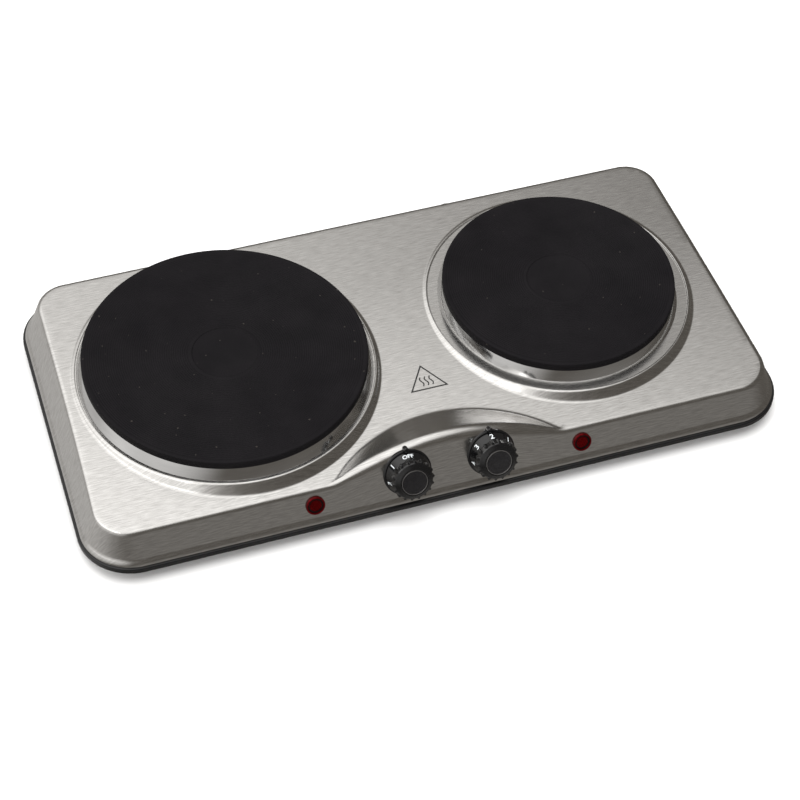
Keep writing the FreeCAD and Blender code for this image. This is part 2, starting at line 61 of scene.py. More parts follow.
def disc_of(node):
    """Centre in plan, radius and top height of an upright round node, in mm."""
    lo, hi = box_mm(node)
    middle = (lo + hi) / 2
    return middle.x, middle.y, (hi.x - lo.x) / 2, hi.z


JOINTS = {joint["name"]: joint for joint in frame["joints"]}
PANEL_NORMAL = Vector(JOINTS["left_knob_turn"]["axis"]).normalized()
KNOB_POINTS = {side: Vector(JOINTS[side + "_knob_turn"]["pos_m"]) / MM for side in ("left", "right")}
PLATES = {name: disc_of(name + "_plate") for name in ("large", "small")}
PLATE_Y = PLATES["large"][1]
PLATE_TOP = PLATES["large"][3]

# ---------------------------------------------------------------- housing form, as the CAD has it (mm)

# Deck: level at the back, then an arc down to its front edge
DECK_Z = PLATE_TOP - 13.6
DECK_FRONT_Z = PLATE_TOP - 19.4
DECK_BEND_Y = PLATE_Y + 40.0
DECK_FRONT_Y = PLATE_Y - 111.0
DECK_BACK_Y = PLATE_Y + 101.5
DECK_FRONT_HALF = 226.5
DECK_BACK_HALF = 218.7
DECK_DROP = DECK_Z - DECK_FRONT_Z
DECK_BEND_R = ((DECK_BEND_Y - DECK_FRONT_Y) ** 2 / DECK_DROP + DECK_DROP) / 2
# Skirt: outward run for each mm down, and where its plane faces end
FRONT_SLOPE = -PANEL_NORMAL.z / PANEL_NORMAL.y
BACK_SLOPE = 0.40
FRONT_SIDE_SLOPE = 0.36
BACK_SIDE_SLOPE = 0.325
FACE_END_Z = 18.8
BASE_CORNER_R = 30.5
CORNER_R_SLOPE = 0.45
# Plate lips: (crest radius, radius of the seat inside it, height of the seat)
LIPS = {"large": (98.5, 96.9, 41.0), "small": (88.5, 87.0, 41.3)}
LIP_Z = PLATE_TOP - 13.2
LIP_SLOPE = 1.1
PLATE_HOLE_GAP = 6.5
# Hood: an upright cone, with its height at one radius and its rise for each mm inwards
HOOD_AXIS_Y = PLATE_Y - 163.1
HOOD_R = 91.7
HOOD_R_Z = 36.8
HOOD_RISE = 0.50
# Sheet thickness, and the rounding of the skirt's top edge on the deck and on the hood's ridge
SHEET = 0.75
EDGE_ROUND = 3.6
RIDGE_ROUND = 6.5
# Widths over which neighbouring forms melt into each other
HOOD_BLEND = 0.9
LIP_BLEND = 0.8
CREST_BLEND = 0.5
# Mesh density: points in a corner, along each side, round a plate, and spacing of the plain grid
CORNER_STEPS = 26
SIDE_STEPS = (250, 110, 170, 110)
RING_POINTS = 400
GRID_STEP = 3.6
FACE_ROWS = 24
ROUND_ROWS = 9
# Heights between which the skirt's top edge is looked for
EDGE_SEARCH = (25.0, 58.0)
# The skirt below its plane face: how far out it stands, and its height
SKIRT_PROFILE = [
    (3.0, 11.0), (3.0, 12.4), (2.98, 13.6), (2.9, 14.3), (2.72, 15.0), (2.4, 15.7), (1.95, 16.3),
    (1.4, 16.85), (0.9, 17.3), (0.5, 17.75), (0.22, 18.25), (0.06, 18.7), (0.0, 19.2),
]


def smooth_max(a, b, width):
    """The larger of two heights, rounded where they cross within a width."""
    overlap = np.maximum(width - np.abs(a - b), 0.0) / width
    return np.maximum(a, b) + overlap * overlap * width / 4


def smooth_min(a, b, width):
    return -smooth_max(-a, -b, width)


def smooth_step(low, high, value):
    t = np.clip((value - low) / (high - low), 0.0, 1.0)
    return t * t * (3 - 2 * t)


def deck_height(y):
    """Height of the bare deck."""
    across = np.maximum(DECK_BEND_Y - y, 0.0)
    return DECK_Z - (DECK_BEND_R - np.sqrt(DECK_BEND_R ** 2 - across ** 2))


def top_height(x, y):
    """Height of the housing's top: deck, hood and plate lips, with their corners softened."""
    x = np.asarray(x, float)
    y = np.asarray(y, float)
    hood = HOOD_R_Z + (HOOD_R - np.hypot(x, y - HOOD_AXIS_Y)) * HOOD_RISE
    height = smooth_max(deck_height(y), hood, HOOD_BLEND)
    for name, (crest_r, seat_r, seat_z) in LIPS.items():
        cx, cy, _, _ = PLATES[name]
        r = np.hypot(x - cx, y - cy)
        lip = smooth_min(LIP_Z + 0 * r, LIP_Z - (r - crest_r) / LIP_SLOPE, CREST_BLEND)
        height = smooth_max(height, lip, LIP_BLEND)
        height = seat_z + (height - seat_z) * smooth_step(seat_r - 0.1, seat_r + 0.45, r)
    return height


def outline_point(station, z, grow):
    """A point and outward normal on the skirt's outline at a height, grown outwards by some mm."""
    kind, index, t = station
    level = max(z, FACE_END_Z)
    front = DECK_FRONT_Y - (DECK_FRONT_Z - level) * FRONT_SLOPE - grow
    back = DECK_BACK_Y + (DECK_Z - level) * BACK_SLOPE + grow
    front_half = DECK_FRONT_HALF + (DECK_FRONT_Z - level) * FRONT_SIDE_SLOPE + grow
    back_half = DECK_BACK_HALF + (DECK_Z - level) * BACK_SIDE_SLOPE + grow
    radius = BASE_CORNER_R - CORNER_R_SLOPE * (level - FACE_END_Z) + grow
    corners = [Vector((-front_half, front)), Vector((front_half, front)),
               Vector((back_half, back)), Vector((-back_half, back))]

    def rounding(i):
        corner = corners[i]
        to_last = (corners[i - 1] - corner).normalized()
        to_next = (corners[(i + 1) % 4] - corner).normalized()
        half = to_last.angle(to_next) / 2
        reach = radius / math.tan(half)
        centre = corner + (to_last + to_next).normalized() * (radius / math.sin(half))
        return corner + to_last * reach, corner + to_next * reach, centre

    if kind == "corner":
        start, end, centre = rounding(index)
        a = start - centre
        sweep = a.angle(end - centre) * t
        normal = Vector((a.x * math.cos(sweep) - a.y * math.sin(sweep),
                         a.x * math.sin(sweep) + a.y * math.cos(sweep))).normalized()
        return centre + normal * radius, normal
    start = rounding(index)[1]
    end = rounding((index + 1) % 4)[0]
    along = (end - start).normalized()
    return start.lerp(end, t), Vector((along.y, -along.x))


def stations():
    """Places round the outline as (kind, index, part of the way), closer together along the front."""
    found = []
    for index, steps in enumerate(SIDE_STEPS):
        found += [("corner", index, i / CORNER_STEPS) for i in range(CORNER_STEPS)]
        found += [("side", index, i / steps) for i in range(steps)]
    return found


def edge_column(station):
    """Points up one column of the skirt and round its top edge, in mm, and the outward normal."""
    low, high = EDGE_SEARCH
    for _ in range(40):
        z = (low + high) / 2
        p, _ = outline_point(station, z, 0.0)
        if float(top_height(p.x, p.y)) > z:
            low = z
        else:
            high = z
    p, normal = outline_point(station, low, 0.0)
    corner = Vector((p.x, p.y, low))
    below, _ = outline_point(station, low - 4.0, 0.0)
    down = (Vector((below.x, below.y, low - 4.0)) - corner).normalized()
    inward = p - normal * 4.0
    rise = smooth_step(0.5, 9.0, low - float(deck_height(p.y)))
    radius = EDGE_ROUND + (RIDGE_ROUND - EDGE_ROUND) * float(rise)
    across = (Vector((inward.x, inward.y, float(top_height(inward.x, inward.y)))) - corner).normalized()
    half = down.angle(across) / 2
    reach = radius / math.tan(half)
    centre = corner + (down + across).normalized() * (radius / math.sin(half))
    points = []
    for grow, z in SKIRT_PROFILE:
        q, _ = outline_point(station, z, grow)
        points.append(Vector((q.x, q.y, z)))
    foot_z = SKIRT_PROFILE[-1][1]
    start = corner + down * reach
    for i in range(1, FACE_ROWS):
        q, _ = outline_point(station, foot_z + (start.z - foot_z) * i / FACE_ROWS, 0.0)
        points.append(Vector((q.x, q.y, foot_z + (start.z - foot_z) * i / FACE_ROWS)))
    first = start - centre
    last = corner + across * reach - centre
    turn = first.angle(last)
    for i in range(ROUND_ROWS + 1):
        t = i / ROUND_ROWS
        mix = (first * math.sin((1 - t) * turn) + last * math.sin(t * turn)) / math.sin(turn)
        points.append(centre + mix)
    return points, normal


def inside_loop(points, loop):
    """Which points lie in a closed polygon."""
    inside = np.zeros(len(points), bool)
    x, y = points[:, 0], points[:, 1]
    for (x1, y1), (x2, y2) in zip(loop, np.roll(loop, -1, 0)):
        if y1 == y2:
            continue
        crosses = (y1 > y) != (y2 > y)
        inside ^= crosses & (x < (x2 - x1) * (y - y1) / (y2 - y1) + x1)
    return inside


def loop_distance(points, loop):
    """Distance from each point to the nearest corner of a dense polygon."""
    best = np.full(len(points), 1e9)
    for corner in loop:
        best = np.minimum(best, np.hypot(points[:, 0] - corner[0], points[:, 1] - corner[1]))
    return best


def deck_points(loop):
    """Plan points for the housing's top: rings round the plates, rows over the hood, a plain grid."""
    chosen = []
    taken_r = {}
    for name, (crest_r, seat_r, _) in LIPS.items():
        cx, cy, plate_r, _ = PLATES[name]
        hole_r = plate_r - PLATE_HOLE_GAP
        seat = np.linspace(hole_r, seat_r - 1.0, 6)[1:]
        step_up = seat_r + np.array([-0.3, -0.08, 0.04, 0.16, 0.28, 0.42, 0.8])
        lip = np.arange(crest_r, crest_r + 9.0, 0.5)
        radii = np.concatenate([seat, step_up, lip])
        angles = np.arange(RING_POINTS) * 2 * math.pi / RING_POINTS
        rings = [np.stack([cx + r * np.cos(angles), cy + r * np.sin(angles)], 1) for r in radii]
        chosen.append(np.concatenate(rings))
        taken_r[name] = radii[-1]
    arcs = []
    slope_radii = np.arange(50.0, HOOD_R - 5.0, 2.4)
    foot_radii = np.arange(HOOD_R - 5.0, HOOD_R + 4.1, 0.8)
    for r in np.concatenate([slope_radii, foot_radii]):
        count = int(r * math.pi / 1.6)
        a = np.arange(count + 1) * math.pi / count
        arcs.append(np.stack([r * np.cos(a), HOOD_AXIS_Y + r * np.sin(a)], 1))
    xs, ys = np.meshgrid(np.arange(-225, 226, GRID_STEP), np.arange(-105, 115, GRID_STEP))
    grid = np.stack([xs.ravel(), ys.ravel()], 1)
    hood_far = np.hypot(grid[:, 0], grid[:, 1] - HOOD_AXIS_Y)
    grid = grid[hood_far > HOOD_R + 6.0]
    for points in (np.concatenate(arcs), grid):
        for name in LIPS:
            cx, cy, _, _ = PLATES[name]
            points = points[np.hypot(points[:, 0] - cx, points[:, 1] - cy) > taken_r[name] + 0.7]
        chosen.append(points)
    points = np.concatenate(chosen)
    points = points[inside_loop(points, loop)]
    return points[loop_distance(points, loop) > 0.75]


def housing_mesh():
    """The pressed shell's outer face: points and faces, and each point's place on the unfolded sheet."""
    places = stations()
    columns = [edge_column(place) for place in places]
    rows = len(columns[0][0])
    verts = []
    unfolded = []
    for points, normal in columns:
        spread = [0.0]
        for a, b in zip(points[::-1], points[::-1][1:]):
            spread.append(spread[-1] + (a - b).length)
        spread = spread[::-1]
        rim = points[-1]
        for point, far in zip(points, spread):
            verts.append(point)
            unfolded.append((rim.x + normal.x * far, rim.y + normal.y * far))
    count = len(columns)
    faces = []
    for i in range(count):
        j = (i + 1) % count
        for k in range(rows - 1):
            faces.append((i * rows + k, j * rows + k, j * rows + k + 1, i * rows + k + 1))
    loop_ids = [i * rows + rows - 1 for i in range(count)]
    loop = np.array([verts[i][:2] for i in loop_ids])
    points = list(map(tuple, loop))
    edges = [(i, (i + 1) % count) for i in range(count)]
    holes = []
    for name in LIPS:
        cx, cy, plate_r, _ = PLATES[name]
        hole_r = plate_r - PLATE_HOLE_GAP
        holes.append((cx, cy, hole_r))
        start = len(points)
        angles = [2 * math.pi * i / RING_POINTS for i in range(RING_POINTS)]
        points += [(cx + hole_r * math.cos(a), cy + hole_r * math.sin(a)) for a in angles]
        edges += [(start + i, start + (i + 1) % RING_POINTS) for i in range(RING_POINTS)]
    points += list(map(tuple, deck_points(loop)))
    made = delaunay_2d_cdt([Vector(p) for p in points], edges, [], 0, 1e-5)
    made_points, _, made_faces, sources, _, _ = made
    flat = np.array([tuple(v) for v in made_points])
    heights = top_height(flat[:, 0], flat[:, 1])
    ids = []
    for i, source in enumerate(sources):
        ring_source = [s for s in source if s < count]
        if ring_source:
            ids.append(loop_ids[ring_source[0]])
            continue
        ids.append(len(verts))
        verts.append(Vector((flat[i, 0], flat[i, 1], heights[i])))
        unfolded.append((flat[i, 0], flat[i, 1]))
    triangles = np.array([tuple(f) for f in made_faces])
    middles = flat[triangles].mean(1)
    keep = inside_loop(middles, loop)
    for cx, cy, hole_r in holes:
        keep &= np.hypot(middles[:, 0] - cx, middles[:, 1] - cy) > hole_r * 0.9999
    for triangle in triangles[keep]:
        a, b, c = (ids[i] for i in triangle)
        faces.append((a, b, c))
    return verts, faces, unfolded


# ---------------------------------------------------------------- mesh helpers

WELD = 1e-6
ON_AXIS = 1e-6
ROUNDING_STEPS = 4


def new_object(name, verts, faces, smooth=True):
    """An object from points in mm and faces."""
    mesh = bpy.data.meshes.new(name)
    mesh.from_pydata([tuple(Vector(v) * MM) for v in verts], [], faces)
    mesh.validate()
    mesh.update()
    for polygon in mesh.polygons:
        polygon.use_smooth = smooth
    piece = bpy.data.objects.new(name, mesh)
    bpy.context.scene.collection.objects.link(piece)
    return piece


def lathe(profile, segments, shape=None, close=False):
    """Turns (radius, height) points about +Z. shape(angle, radius, height) may change the radius."""
    verts = []
    faces = []
    for i in range(segments):
        angle = 2 * math.pi * i / segments
        for r, z in profile:
            radius = shape(angle, r, z) if shape else r
            verts.append((radius * math.cos(angle), radius * math.sin(angle), z))
    rows = len(profile)
    spans = rows if close else rows - 1
    for i in range(segments):
        j = (i + 1) % segments
        for k in range(spans):
            m = (k + 1) % rows
            faces.append((i * rows + k, j * rows + k, j * rows + m, i * rows + m))
    if not close:
        for k, flip in ((0, True), (rows - 1, False)):
            if profile[k][0] > ON_AXIS:
                ring = [i * rows + k for i in range(segments)]
                faces.append(tuple(reversed(ring)) if flip else tuple(ring))
    return verts, faces


def clean(piece):
    """Welds the points that meet on an axis and drops the faces that vanish there."""
    bm = bmesh.new()
    bm.from_mesh(piece.data)
    bmesh.ops.remove_doubles(bm, verts=bm.verts, dist=WELD)
    bmesh.ops.recalc_face_normals(bm, faces=bm.faces)
    bm.to_mesh(piece.data)
    bm.free()
    return piece


def rounded(profile, radius):
    """Rounds the inner corners of an open (radius, height) outline."""
    result = [profile[0]]
    for i in range(1, len(profile) - 1):
        p = Vector(profile[i])
        a = Vector(profile[i - 1]) - p
        b = Vector(profile[i + 1]) - p
        angle = a.angle(b) if a.length and b.length else math.pi
        reach = min(radius / math.tan(angle / 2), a.length * 0.45, b.length * 0.45)
        start = p + a.normalized() * reach
        end = p + b.normalized() * reach
        for k in range(ROUNDING_STEPS + 1):
            t = k / ROUNDING_STEPS
            q = start * (1 - t) ** 2 + p * 2 * t * (1 - t) + end * t ** 2
            result.append((q.x, q.y))
    result.append(profile[-1])
    return result


def stand_on_panel(piece, origin):
    """Places a piece built along +Z from the origin onto the knob panel; its own +Y points up the panel."""
    up = Vector((1, 0, 0)).cross(PANEL_NORMAL) * -1
    turn = Matrix((Vector((1, 0, 0)), up, PANEL_NORMAL)).transposed().to_4x4()
    piece.data.transform(Matrix.Translation(Vector(origin) * MM) @ turn)


def applied_mesh(piece):
    """The piece's mesh with its modifiers, or its text, turned into plain faces."""
    return bpy.data.meshes.new_from_object(piece.evaluated_get(bpy.context.evaluated_depsgraph_get()))


def thicken(piece, thickness):
    """Gives an open sheet its thickness, below its face, in mm."""
    solid = piece.modifiers.new("sheet", "SOLIDIFY")
    solid.thickness = thickness * MM
    solid.offset = -1.0
    return solid


def keep_modifiers(piece):
    """Makes the modifiers' result the piece's own mesh."""
    mesh = applied_mesh(piece)
    piece.modifiers.clear()
    piece.data = mesh


def moved(verts, x, y):
    """The points shifted in plan."""
    return [(px + x, py + y, pz) for px, py, pz in verts]


def mark_sharp(piece, angle):
    """Keeps the edges that turn by more than an angle in degrees crisp under smooth shading."""
    piece.data.set_sharp_from_angle(angle=math.radians(angle))


def give(piece, material, body="root", replaces=()):
    """Sets a piece's material, the body it rides on and the CAD nodes it stands for."""
    piece.data.materials.clear()
    piece.data.materials.append(material)
    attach(piece, body)
    if replaces:
        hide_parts(*replaces)


# ---------------------------------------------------------------- materials

class Nodes:
    """A material's node tree, with short ways to add nodes and links."""

    def __init__(self, name):
        self.material = bpy.data.materials.new(name)
        self.material.use_nodes = True
        self.tree = self.material.node_tree
        self.shader = self.tree.nodes["Principled BSDF"]

    def add(self, kind, **settings):
        node = self.tree.nodes.new(kind)
        for key, value in settings.items():
            setattr(node, key, value)
        return node

    def link(self, source, target):
        self.tree.links.new(source, target)

    def set(self, **values):
        for key, value in values.items():
            self.shader.inputs[key.replace("_", " ")].default_value = value

    def noise(self, scale, detail=3.0, roughness=0.55, space="Object"):
        """Noise in object or sheet coordinates; scale, per metre, is a number or one for each axis."""
        source = self.add("ShaderNodeTexCoord").outputs[space]
        mapping = self.add("ShaderNodeMapping")
        mapping.inputs["Scale"].default_value = scale if isinstance(scale, tuple) else (scale,) * 3
        self.link(source, mapping.inputs["Vector"])
        node = self.add("ShaderNodeTexNoise")
        node.inputs["Scale"].default_value = 1.0
        node.inputs["Detail"].default_value = detail
        node.inputs["Roughness"].default_value = roughness
        self.link(mapping.outputs["Vector"], node.inputs["Vector"])
        return node.outputs["Fac"]

    def ramp(self, value, low_colour, high_colour, low=0.3, high=0.7):
        """Turns a value into a colour between two, full at each end of the range low to high."""
        node = self.add("ShaderNodeValToRGB")
        ends = ((low, low_colour), (high, high_colour))
        for element, (position, colour) in zip(node.color_ramp.elements, ends):
            element.position = position
            element.color = (*colour, 1)
        self.link(value, node.inputs["Fac"])
        return node.outputs["Color"]

    def colour(self, value, low_colour, high_colour, low=0.3, high=0.7):
        self.link(self.ramp(value, low_colour, high_colour, low, high), self.shader.inputs["Base Color"])

    def gloss(self, value, low, high):
        self.link(self.scaled(value, low, high), self.shader.inputs["Roughness"])

    def scaled(self, value, low, high):
        node = self.add("ShaderNodeMapRange")
        node.inputs["To Min"].default_value = low
        node.inputs["To Max"].default_value = high
        self.link(value, node.inputs["Value"])
        return node.outputs["Result"]

    def bump(self, height, distance, strength=0.5):
        """Fine relief; distance in metres."""
        node = self.add("ShaderNodeBump")
        node.inputs["Distance"].default_value = distance
        node.inputs["Strength"].default_value = strength
        self.link(height, node.inputs["Height"])
        self.link(node.outputs["Normal"], self.shader.inputs["Normal"])


def grey(value):
    return (value, value, value)


def brushed_steel():
    """Stainless sheet brushed along its length: stretched noise in the unfolded sheet's coordinates."""
    m = Nodes("brushed_stainless")
    m.set(Metallic=1.0, Roughness=0.22, Anisotropic=0.55, Anisotropic_Rotation=0.25)
    fine = m.noise((90, 3600, 1), 2.0, space="UV")
    broad = m.noise((120, 1150, 1), 3.0, space="UV")
    cloud = m.noise((14, 22, 1), 4.0, space="UV")
    mix = m.add("ShaderNodeMix", data_type="FLOAT")
    mix.inputs["Factor"].default_value = 0.55
    m.link(fine, mix.inputs["A"])
    m.link(broad, mix.inputs["B"])
    m.colour(mix.outputs["Result"], (0.50, 0.49, 0.475), (0.80, 0.79, 0.775), 0.32, 0.68)
    m.gloss(cloud, 0.20, 0.24)
    m.bump(mix.outputs["Result"], 0.000007)
    tangent = m.add("ShaderNodeTangent", direction_type="UV_MAP", uv_map="sheet")
    m.link(tangent.outputs["Tangent"], m.shader.inputs["Tangent"])
    return m.material


def polished_steel():
    m = Nodes("polished_ring")
    m.set(Metallic=1.0, Roughness=0.09)
    smear = m.noise((60, 60, 400), 2.0)
    m.colour(smear, grey(0.78 * 0.92), grey(0.78))
    m.gloss(smear, 0.06, 0.15)
    m.bump(m.noise(25, 2.0), 0.0002, 0.12)
    return m.material


def grained_metal(name, roughness, scale, dark, light, gloss, depth):
    """Zinc plating or stamped brass: a fine grain in colour, gloss and relief."""
    m = Nodes(name)
    m.set(Metallic=1.0, Roughness=roughness)
    grain = m.noise(scale)
    m.colour(grain, dark, light)
    m.gloss(grain, *gloss)
    m.bump(grain, depth, 0.4)
    return m.material


def cast_iron():
    """Black burnt-in iron with a sandy skin and a few grey specks."""
    m = Nodes("cast_iron_black")
    m.set(Metallic=0.0, Roughness=0.62, IOR=1.45, Specular_IOR_Level=0.10)
    grain = m.noise(1700, 4.0, 0.7)
    broad = m.noise(35, 4.0)
    dust = m.noise(420, 0.0)
    mix = m.add("ShaderNodeMix", data_type="RGBA")
    m.link(m.ramp(dust, grey(0.0), grey(1.0), 0.83, 0.87), mix.inputs["Factor"])
    m.link(m.ramp(broad, (0.0060, 0.0055, 0.0063), (0.0086, 0.0078, 0.0088)), mix.inputs["A"])
    mix.inputs["B"].default_value = (0.035, 0.031, 0.028, 1)
    m.link(mix.outputs["Result"], m.shader.inputs["Base Color"])
    m.gloss(grain, 0.5, 0.75)
    m.bump(grain, 0.00006)
    return m.material


def moulded(name, dark, light, roughness, coat=0.0, grain_scale=600.0, grain_depth=0.00003):
    """Moulded plastic, enamel, rubber or ceramic: slight colour and gloss changes and a fine skin."""
    m = Nodes(name)
    m.set(Metallic=0.0, Roughness=roughness, Coat_Weight=coat, Coat_Roughness=0.06)
    grain = m.noise(grain_scale)
    m.colour(m.noise(45), dark, light)
    m.gloss(grain, roughness * 0.85, roughness * 1.2)
    m.bump(grain, grain_depth)
    return m.material


def red_lens():
    """Deep red plastic that also tints what it mirrors."""
    m = Nodes("red_pilot_lens")
    m.set(Metallic=0.0, Roughness=0.12, IOR=1.5, Specular_IOR_Level=0.7, Specular_Tint=(1.0, 0.05, 0.07, 1))
    cloud = m.noise(500, 2.0)
    m.colour(cloud, (0.022, 0.0003, 0.0005), (0.05, 0.0005, 0.0008))
    m.gloss(cloud, 0.08, 0.18)
    return m.material


def shadow_black():
    """Painted shade for the groove round a lens: near-black and dull, with almost no reflection."""
    m = Nodes("shadow_black")
    m.set(Metallic=0.0, Roughness=0.8, Specular_IOR_Level=0.04)
    m.colour(m.noise(800, 2.0), grey(0.002), grey(0.005))
    return m.material


def glass_tube():
    m = Nodes("neon_glass")
    m.set(Roughness=0.08, IOR=1.47)
    m.colour(m.noise(300), (0.8, 0.6, 0.5), (0.9, 0.75, 0.62))
    return m.material


def studio_floor():
    m = Nodes("pale_floor")
    m.set(Roughness=0.7, Specular_IOR_Level=0.2)
    m.colour(m.noise(3, 2.0), grey(0.90), grey(0.93))
    return m.material


STEEL = brushed_steel()
POLISHED = polished_steel()
ZINC = grained_metal("zinc_plated_steel", 0.35, 900, (0.42, 0.42, 0.4), (0.62, 0.61, 0.57),
                     gloss=(0.25, 0.5), depth=0.00003)
BRASS = grained_metal("stamped_brass", 0.32, 700, (0.6, 0.42, 0.16), (0.78, 0.58, 0.28),
                      gloss=(0.25, 0.42), depth=0.00002)
IRON = cast_iron()
PHENOLIC = moulded("black_phenolic", (0.003, 0.003, 0.0033), (0.005, 0.005, 0.0055), 0.14,
                   coat=0.25, grain_depth=0.000005)
SATIN_BLACK = moulded("satin_black", (0.012, 0.012, 0.013), (0.02, 0.02, 0.022), 0.38)
HATCH = moulded("hatched_cap", (0.008, 0.0075, 0.0085), (0.014, 0.0135, 0.0145), 0.22, grain_depth=0.00001)
CAP_RIM = moulded("cap_rim", (0.035, 0.033, 0.032), (0.055, 0.053, 0.051), 0.25, grain_depth=0.00001)
ENAMEL = moulded("black_enamel", (0.003, 0.003, 0.0035), (0.006, 0.006, 0.0065), 0.3, grain_scale=250.0)
RUBBER = moulded("black_rubber", (0.012, 0.012, 0.012), (0.024, 0.024, 0.023), 0.72, grain_scale=900.0)
WHITE_PLASTIC = moulded("white_plastic", (0.68, 0.67, 0.62), (0.8, 0.79, 0.75), 0.42)
CERAMIC = moulded("ceramic", (0.6, 0.56, 0.48), (0.76, 0.72, 0.64), 0.6, grain_scale=1500.0)
SLEEVE = moulded("glass_sleeve", (0.5, 0.49, 0.44), (0.68, 0.66, 0.6), 0.7,
                 grain_scale=1800.0, grain_depth=0.0001)
LENS = red_lens()
# painted shade: the near-black material for the ring in each lens groove
GROOVE_PAINTED_SHADE = shadow_black()
NEON = glass_tube()
WHITE_INK = moulded("white_ink", (0.62, 0.66, 0.68), (0.75, 0.78, 0.8), 0.5)
BLACK_INK = moulded("black_ink", (0.01, 0.01, 0.01), (0.02, 0.02, 0.02), 0.5)

SLOT_LOOKS = {
    "housing_steel": STEEL, "black_enamel": ENAMEL, "cast_iron_plate": IRON, "polished_ring": POLISHED,
    "knob_black": PHENOLIC, "knob_cap": SATIN_BLACK, "red_lens": LENS, "neon_glass": NEON,
    "white_plastic": WHITE_PLASTIC, "ceramic": CERAMIC, "brass": BRASS, "rubber": RUBBER,
    "gland_black": SATIN_BLACK, "lead_sleeve": SLEEVE, "zinc_steel": ZINC,
}


def dress_cad_nodes():
    """Every CAD node gets its slot's material."""
    for row in frame["record"]["subparts"]:
        node = frame["nodes"][row["node"]]
        node.data.materials.clear()
        node.data.materials.append(SLOT_LOOKS[row["material_slot"]])


# ---------------------------------------------------------------- pieces, in mm until new_object scales them

SHAFT_HOLE_R = 5.4
LAMP_HOLE_R = 5.6
GLAND_HOLE_R = 6.6


def middle_of(node):
    lo, hi = box_mm(node)
    return (lo + hi) / 2


def make_housing():
    """Brushed shell with its holes for the shafts, lamps and gland; its UV map is the unfolded sheet."""
    verts, faces, unfolded = housing_mesh()
    piece = new_object("housing_shell", verts, faces)
    uv = piece.data.uv_layers.new(name="sheet")
    spots = np.array(unfolded, np.float32) * MM
    index = np.empty(len(piece.data.loops), np.int32)
    piece.data.loops.foreach_get("vertex_index", index)
    uv.data.foreach_set("uv", spots[index].ravel())
    for side, point in KNOB_POINTS.items():
        cut_round_hole(piece, point, SHAFT_HOLE_R, PANEL_NORMAL)
        cut_round_hole(piece, middle_of(side + "_lamp_lens"), LAMP_HOLE_R, PANEL_NORMAL)
    cut_round_hole(piece, middle_of("cord_gland"), GLAND_HOLE_R, Vector((0, 1, 0)))
    thicken(piece, SHEET).use_quality_normals = True
    keep_modifiers(piece)
    mark_sharp(piece, 50)
    give(piece, STEEL, replaces=["top_housing"])


def cut_round_hole(piece, point, radius, axis):
    """Opens a round hole in the sheet about an axis through a point, and moves its rim onto the circle."""
    centre = Vector(point) * MM
    size = radius * MM
    bm = bmesh.new()
    bm.from_mesh(piece.data)
    reach = size * 1.6

    def radial(co):
        offset = co - centre
        offset -= axis * offset.dot(axis)
        return offset

    near = [v for v in bm.verts if (v.co - centre).length < reach * 1.8 and radial(v.co).length < size]
    bmesh.ops.delete(bm, geom=near, context="VERTS")
    for v in bm.verts:
        if v.is_boundary and (v.co - centre).length < reach * 2.2 and radial(v.co).length < reach:
            offset = radial(v.co)
            v.co += offset.normalized() * (size - offset.length)
    bm.to_mesh(piece.data)
    bm.free()


GROOVE_PITCH = 1.45
GROOVE_DEPTH = 0.22
CENTRE_DISC_R = 21.5
CENTRE_DISC_DEPTH = 0.5
PLAIN_BAND = 2.6
PLATE_RIM = 6.1


def make_plate(name):
    """Cast-iron plate with turned grooves, a recessed centre disc and an eased rim."""
    cx, cy, radius, top = PLATES[name]
    lo, _ = box_mm(name + "_plate")
    disc_z = top - CENTRE_DISC_DEPTH
    profile = [(0.0, disc_z), (CENTRE_DISC_R - 1.2, disc_z), (CENTRE_DISC_R - 0.5, top - 0.42),
               (CENTRE_DISC_R, top)]
    grooves = int((radius - PLAIN_BAND - CENTRE_DISC_R - 0.6) / GROOVE_PITCH)
    start = radius - PLAIN_BAND - grooves * GROOVE_PITCH
    for i in range(grooves):
        r = start + i * GROOVE_PITCH
        for part, depth in ((0.0, 0.0), (0.28, 0.75), (0.5, 1.0), (0.72, 0.75)):
            profile.append((r + GROOVE_PITCH * part, top - GROOVE_DEPTH * depth))
    rim = top - PLATE_RIM
    profile += [(radius - PLAIN_BAND, top), (radius - 1.1, top), (radius - 0.5, top - 0.16),
                (radius - 0.15, top - 0.5), (radius, top - 1.0), (radius, rim + 0.5),
                (radius - 0.15, rim + 0.12), (radius - 0.5, rim),
                (radius - 8.0, rim), (radius - 8.0, lo.z + 0.6), (radius - 8.6, lo.z), (0.0, lo.z)]
    verts, faces = lathe(profile[::-1], 360)
    piece = clean(new_object(name + "_plate_turned", moved(verts, cx, cy), faces))
    mark_sharp(piece, 28)
    give(piece, IRON, replaces=[name + "_plate"])


def make_trim_ring(name):
    """Polished ring, rolled in at the top and turned out at its foot."""
    cx, cy, radius, top = PLATES[name]
    seat = LIPS[name][2]
    lo, hi = box_mm(name + "_trim_ring")
    foot_r = (hi.x - lo.x) / 2
    rim = top - PLATE_RIM
    outer = rounded([(radius - 6.0, rim - 0.02), (radius - 1.0, rim - 0.02), (foot_r, seat + 0.02)], 0.7)
    inner = rounded([(foot_r - 0.7, seat + 0.02), (radius - 1.6, rim - 0.7), (radius - 6.0, rim - 0.7)], 0.7)
    verts, faces = lathe(outer + inner, 384, close=True)
    piece = clean(new_object(name + "_ring_polished", moved(verts, cx, cy), faces))
    mark_sharp(piece, 30)
    give(piece, POLISHED, replaces=[name + "_trim_ring"])


